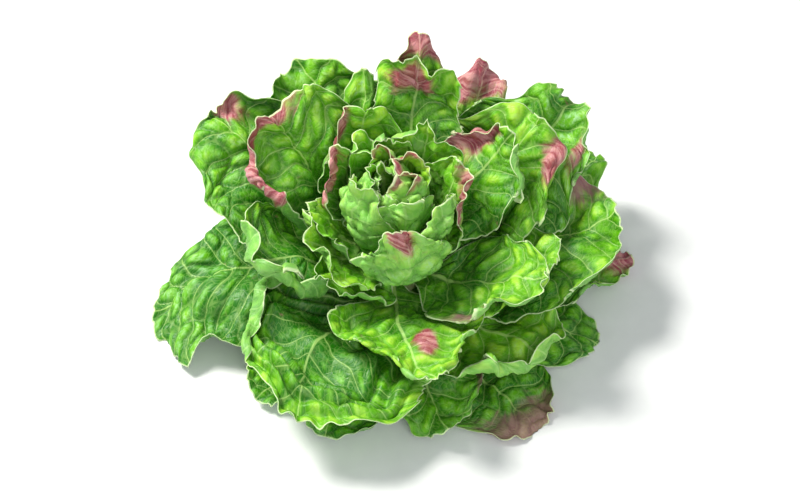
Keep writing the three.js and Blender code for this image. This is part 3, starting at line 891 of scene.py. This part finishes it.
def turned_part(radii, heights):
    """The corners and faces of a turned form with two flat ends."""
    angle = np.linspace(0, 2 * math.pi, STEM_ROUND, endpoint=False)
    rings = np.stack([
        np.outer(radii, np.cos(angle)),
        np.outer(radii, np.sin(angle)),
        heights[:, None] + 0 * angle,
    ], -1)
    corners = np.concatenate([rings.reshape(-1, 3), [[0, 0, heights[0]], [0, 0, heights[-1]]]])
    i, j = np.meshgrid(np.arange(len(radii) - 1), np.arange(STEM_ROUND), indexing="ij")
    a, b = i * STEM_ROUND + j, i * STEM_ROUND + (j + 1) % STEM_ROUND
    sides = np.stack([a, b, b + STEM_ROUND, a + STEM_ROUND], -1).reshape(-1, 4)
    k = np.arange(STEM_ROUND)
    after = (k + 1) % STEM_ROUND
    last = (len(radii) - 1) * STEM_ROUND
    centre = len(corners) - 2
    low_cap = np.stack([after, k, k * 0 + centre], 1)
    high_cap = np.stack([last + k, last + after, k * 0 + centre + 1], 1)
    return corners, sides.tolist() + low_cap.tolist() + high_cap.tolist()


# Materials.


def linear(red, green, blue):
    """A colour given as it looks on a screen, from 0 to 255, for a shader."""
    return tuple((c / 255) ** 2.2 for c in (red, green, blue)) + (1,)


class Shader:
    """Adds nodes to a new material and joins them."""

    def __init__(self, name):
        self.material = bpy.data.materials.new(name)
        self.material.use_nodes = True
        self.tree = self.material.node_tree
        self.tree.nodes.clear()

    def add(self, kind, inputs=None, **settings):
        node = self.tree.nodes.new(kind)
        for key, value in settings.items():
            setattr(node, key, value)
        for key, value in (inputs or {}).items():
            self.put(node.inputs[key], value)
        return node

    def put(self, socket, value):
        if isinstance(value, bpy.types.NodeSocket):
            self.tree.links.new(value, socket)
        else:
            socket.default_value = value

    def place(self):
        return self.add("ShaderNodeAttribute", attribute_name="place").outputs["Vector"]

    def fact(self, name):
        return self.add("ShaderNodeAttribute", attribute_name=name).outputs["Fac"]

    def math(self, operation, a, b=0.0):
        return self.add("ShaderNodeMath", {0: a, 1: b}, operation=operation).outputs[0]

    def all_of(self, operation, terms):
        """Many terms added, multiplied or compared one after another."""
        total = terms[0]
        for term in terms[1:]:
            total = self.math(operation, total, term)
        return total

    def between(self, value, low, high, start=0.0, end=1.0):
        """start below low, end above high, smooth between them."""
        inputs = {"Value": value, "From Min": low, "From Max": high, "To Min": start, "To Max": end}
        return self.add("ShaderNodeMapRange", inputs, interpolation_type="SMOOTHSTEP").outputs["Result"]

    def mix(self, share, a, b):
        node = self.add("ShaderNodeMix", data_type="RGBA")
        self.put(node.inputs["Factor"], share)
        self.put(node.inputs[6], a)
        self.put(node.inputs[7], b)
        return node.outputs[2]

    def noise(self, place, scale, detail=3.0, stretch=(1, 1, 1)):
        if stretch != (1, 1, 1):
            place = self.add("ShaderNodeMapping", {"Vector": place, "Scale": stretch}).outputs[0]
        inputs = {"Vector": place, "Scale": scale, "Detail": detail}
        return self.add("ShaderNodeTexNoise", inputs).outputs["Fac"]

    def to_cell_border(self, place, scale):
        inputs = {"Vector": place, "Scale": scale}
        return self.add("ShaderNodeTexVoronoi", inputs, feature="DISTANCE_TO_EDGE").outputs["Distance"]

    def finished(self, colour, roughness, **more):
        """The material, once its surface is joined to its output."""
        inputs = {"Base Color": colour, "Roughness": roughness, **more}
        surface = self.add("ShaderNodeBsdfPrincipled", inputs)
        self.add("ShaderNodeOutputMaterial", {"Surface": surface.outputs[0]})
        return self.material


FRESH = linear(100, 172, 16)
DEEP = linear(38, 110, 4)
YELLOW = linear(160, 212, 54)
# the colour of the painted highlight on the cushion tops
HIGHLIGHT_COLOUR = linear(172, 216, 182)
VEIN = linear(182, 218, 122)
MARGIN = linear(214, 232, 178)
UNDERSIDE = linear(144, 200, 112)
PINK = linear(204, 132, 140)
BURGUNDY = linear(150, 48, 76)
PINK_VEIN = linear(232, 186, 178)
BROWN = linear(152, 108, 108)
PITH = linear(232, 232, 206)
STEM_SIDE = linear(196, 214, 140)
STEM_VESSELS = linear(176, 146, 96)
STEM_STAIN = linear(190, 158, 116)
VESSEL_RING = 0.72

# What the leaves and the stem share: how much they shine, and how far light passes into them, in metres and
# as shares for red, green and blue.
LIVING = {"Specular IOR Level": 0.36, "Subsurface Scale": 0.002, "Subsurface Radius": (0.6, 1.0, 0.2)}


def living(shader, colour, roughness, height, bump_distance, translucence):
    """The finished material of a leaf or of the stem, with a little bump and light that passes into it."""
    bump = shader.add("ShaderNodeBump", {"Height": height, "Strength": 0.5, "Distance": bump_distance})
    more = {"Normal": bump.outputs[0], "Subsurface Weight": translucence, **LIVING}
    return shader.finished(colour, roughness, **more)


def leaf_green(shader, slow, quick):
    """Painted shade deep in the seams and towards the stem, yellower painted light on the cushions, and a
    painted bluish highlight on top.
    """
    to_seam = shader.fact("to_seam")
    lightness = shader.all_of("ADD", [
        shader.math("MULTIPLY", shader.fact("tone"), 0.3),
        shader.between(slow, 0.3, 0.7, 0.0, 0.5),
        # painted shade: darker towards the stem, down among the leaves
        shader.between(shader.fact("reach"), 0.3, 0.95, 0.05, 0.5),
        shader.between(quick, 0.3, 0.7, -0.1, 0.1),
        # painted shade in the seams and fine seams, painted light on the cushion tops
        shader.between(to_seam, 0.6, 4.5, -0.32, 0.3),
        shader.between(shader.fact("to_fine_seam"), 0.0, 1.8, -0.12, 0.06),
    ])
    colour = shader.mix(shader.between(lightness, 0.0, 0.85), DEEP, FRESH)
    colour = shader.mix(shader.between(lightness, 0.7, 1.3), colour, YELLOW)
    # a painted bluish highlight on the cushion tops, as strong as each leaf gives
    highlight_share = shader.all_of("MULTIPLY", [
        shader.between(to_seam, 1.5, 5.5),
        shader.between(quick, 0.42, 0.7),
        shader.between(shader.fact("cool"), 0.0, 1.0, 0.1, 0.62),
    ])
    return shader.mix(highlight_share, colour, HIGHLIGHT_COLOUR)


def leaf_ribs(shader, net):
    """How strongly the pale lines show: side veins, seams, fine seams, the midrib and a fine net."""
    line = shader.math("FRACT", shader.math("ADD", shader.fact("line"), 0.5))
    to_vein = shader.math("ABSOLUTE", shader.math("SUBTRACT", line, 0.5))
    return shader.all_of("MAXIMUM", [
        shader.between(to_vein, 0.012, 0.036, 0.55, 0.0),
        shader.between(shader.fact("to_seam"), 0.2, 0.9, 0.26, 0.0),
        shader.between(shader.fact("to_fine_seam"), 0.1, 0.7, 0.14, 0.0),
        shader.between(shader.math("ABSOLUTE", shader.fact("rib")), 0.4, 1.1, 0.65, 0.0),
        shader.between(net, 0.01, 0.06, 0.18, 0.0),
    ])


def blushed(shader, colour, place, ribs):
    """A leaf's colour with its pink blush and its brown patch, both uneven and streaked along the veins."""
    veined = shader.add("ShaderNodeCombineXYZ", {0: shader.fact("line"), 1: shader.fact("aside")})
    streaks = shader.noise(veined.outputs[0], 4.5, 4, (1, 0.14, 1))
    blotches = shader.noise(place, 0.11, 2)
    uneven = shader.math("SUBTRACT", shader.math("ADD", streaks, blotches), 1.0)
    uneven = shader.math("MULTIPLY", uneven, 0.8)
    blush = shader.between(shader.math("ADD", shader.fact("blush"), uneven), 0.15, 0.7, 0.0, 0.92)
    pink = shader.mix(shader.between(streaks, 0.37, 0.58), PINK, BURGUNDY)
    pink = shader.mix(shader.math("MULTIPLY", ribs, 0.6), pink, PINK_VEIN)
    brown = shader.between(shader.math("ADD", shader.fact("brown"), uneven), 0.2, 0.85, 0.0, 0.85)
    return shader.mix(brown, shader.mix(blush, colour, pink), BROWN)


def leaf_material():
    """Green blades with thin pale veins and margin, paler underneath, some of them blushed."""
    shader = Shader("lettuce_leaf")
    place = shader.place()
    quick = shader.noise(place, 0.3, 4)
    net = shader.to_cell_border(place, 0.3)
    colour = leaf_green(shader, shader.noise(place, 0.04, 3), quick)
    ribs = leaf_ribs(shader, net)
    colour = shader.mix(ribs, colour, VEIN)
    colour = shader.mix(shader.math("MULTIPLY", shader.fact("underside"), 0.42), colour, UNDERSIDE)
    colour = blushed(shader, colour, place, ribs)
    rim = shader.between(shader.fact("rim"), 0.4, 1.2, 0.8, 0.0)
    colour = shader.mix(rim, colour, MARGIN)
    height = shader.math("ADD", shader.math("MULTIPLY", shader.between(net, 0.0, 0.2), 0.5), quick)
    return living(shader, colour, shader.between(quick, 0.3, 0.7, 0.42, 0.56), height, 0.0006, 0.08)


def stem_material():
    """Milky pale pith with a ring of vessels, greener up the side."""
    shader = Shader("lettuce_stem")
    place = shader.place()
    parts = shader.add("ShaderNodeSeparateXYZ", {0: place})
    squares = [shader.math("POWER", parts.outputs[axis], 2.0) for axis in "XY"]
    radius = shader.math("SQRT", shader.math("ADD", *squares))
    grain = shader.noise(place, 0.5, 4)
    colour = shader.mix(shader.between(parts.outputs["Z"], 0.5, 12), PITH, STEM_SIDE)
    ring = shader.math("ABSOLUTE", shader.math("SUBTRACT", radius, STEM_CUT_RADIUS * VESSEL_RING))
    cut = shader.between(parts.outputs["Z"], 0.1, 1.0, 1.0, 0.0)
    vessels = shader.math("MULTIPLY", shader.between(ring, 0.3, 1.6, 0.7, 0.0), cut)
    colour = shader.mix(vessels, colour, STEM_VESSELS)
    colour = shader.mix(shader.between(grain, 0.45, 0.75, 0.0, 0.35), colour, STEM_STAIN)
    return living(shader, colour, shader.between(grain, 0.3, 0.7, 0.45, 0.65), grain, 0.0005, 0.1)


# Building the head.


def replace_leaves(leaves, room, material):
    for seed, (name, leaf) in enumerate(leaves.items()):
        spacing = SEEN_SPACING if leaf["seen"] else HIDDEN_SPACING
        corners, faces, attributes, place = leaf_part(leaf, room[name], spacing, seed)
        blade = mesh_object(f"{name}_blade", corners, faces.tolist(), attributes, place, material)
        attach(blade, "root")
        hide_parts(name)


def replace_heart(leaves, room, material):
    parts = []
    for seed, (name, leaf) in enumerate(leaves.items(), HEART_SEED):
        parts.append(leaf_part(leaf, room[name], HEART_SPACING, seed))
    corners, faces, attributes, place = joined(parts)
    heart = mesh_object("heart_leaves", corners, faces.tolist(), attributes, place, material)
    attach(heart, "root")
    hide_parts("heart")


def replace_stem(material):
    heights = np.linspace(0, STEM_HEIGHT, STEM_ROWS)
    corners, faces = turned_part(stem_radius(heights), heights)
    stem = mesh_object("stem_body", corners, faces, {}, corners, material)
    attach(stem, "root")
    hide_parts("stem")


# The stage.

LOOK_AT = Vector((0.006, 0, 0.057))
CAMERA_ELEVATION = 48
CAMERA_DISTANCE = 1.3
CAMERA_LENS = 83.6
SENSOR = 36
FLOOR_SIDE = 6
FLOOR_PALE = (0.86, 0.86, 0.85, 1)
FLOOR_PALER = (0.9, 0.9, 0.89, 1)
SKY = (0.93, 0.97, 1, 1)
SKY_STRENGTH = 0.4
LIGHTS = {
    "key": dict(place=(-0.85, 0.45, 1.35), size=0.5, power=38, colour=(1, 0.99, 0.95)),
    "front": dict(place=(0.5, -1.6, 1.1), size=1.2, power=16.5, colour=(0.95, 0.98, 1)),
}


def pale_floor():
    shader = Shader("pale_floor")
    place = shader.add("ShaderNodeTexCoord").outputs["Object"]
    speckle = shader.noise(place, 40.0, 4)
    colour = shader.mix(shader.between(speckle, 0.35, 0.7), FLOOR_PALE, FLOOR_PALER)
    half = FLOOR_SIDE / 2
    corners = [(-half, -half, 0), (half, -half, 0), (half, half, 0), (-half, half, 0)]
    mesh = bpy.data.meshes.new("floor")
    mesh.from_pydata(corners, [], [(0, 1, 2, 3)])
    mesh.materials.append(shader.finished(colour, 0.9))
    floor = scene_object("floor", mesh)


def aimed(thing, place, target):
    thing.location = place
    thing.rotation_mode = "QUATERNION"
    thing.rotation_quaternion = (target - place).to_track_quat("-Z", "Y")


def soft_light(name, place, size, power, colour):
    light = bpy.data.lights.new(name, "AREA")
    light.size = size
    light.energy = power
    light.color = colour
    aimed(scene_object(name, light), Vector(place), LOOK_AT)


def set_lights():
    world = bpy.data.worlds.new("studio")
    world.use_nodes = True
    background = world.node_tree.nodes["Background"]
    background.inputs["Color"].default_value = SKY
    background.inputs["Strength"].default_value = SKY_STRENGTH
    bpy.context.scene.world = world
    for name, light in LIGHTS.items():
        soft_light(name, **light)
    bpy.context.scene.view_settings.view_transform = "Standard"


def set_camera():
    camera = bpy.data.cameras.new("camera")
    camera.lens = CAMERA_LENS
    camera.sensor_width = SENSOR
    elevation = math.radians(CAMERA_ELEVATION)
    back = Vector((0, -math.cos(elevation), math.sin(elevation)))
    placed = scene_object("camera", camera)
    aimed(placed, LOOK_AT + back * CAMERA_DISTANCE, LOOK_AT)
    bpy.context.scene.camera = placed


for leaf in LEAVES.values():
    if leaf["level"] > QUILT_LEVEL:
        leaf.update(roll_band=HEART_ROLL_BAND, chance_roll=HEART_ROLL)
small = heart_leaves()
room = room_round({**LEAVES, **small})
green = leaf_material()
replace_leaves(LEAVES, room, green)
replace_heart(small, room, green)
replace_stem(stem_material())
pale_floor()
set_lights()
set_camera()
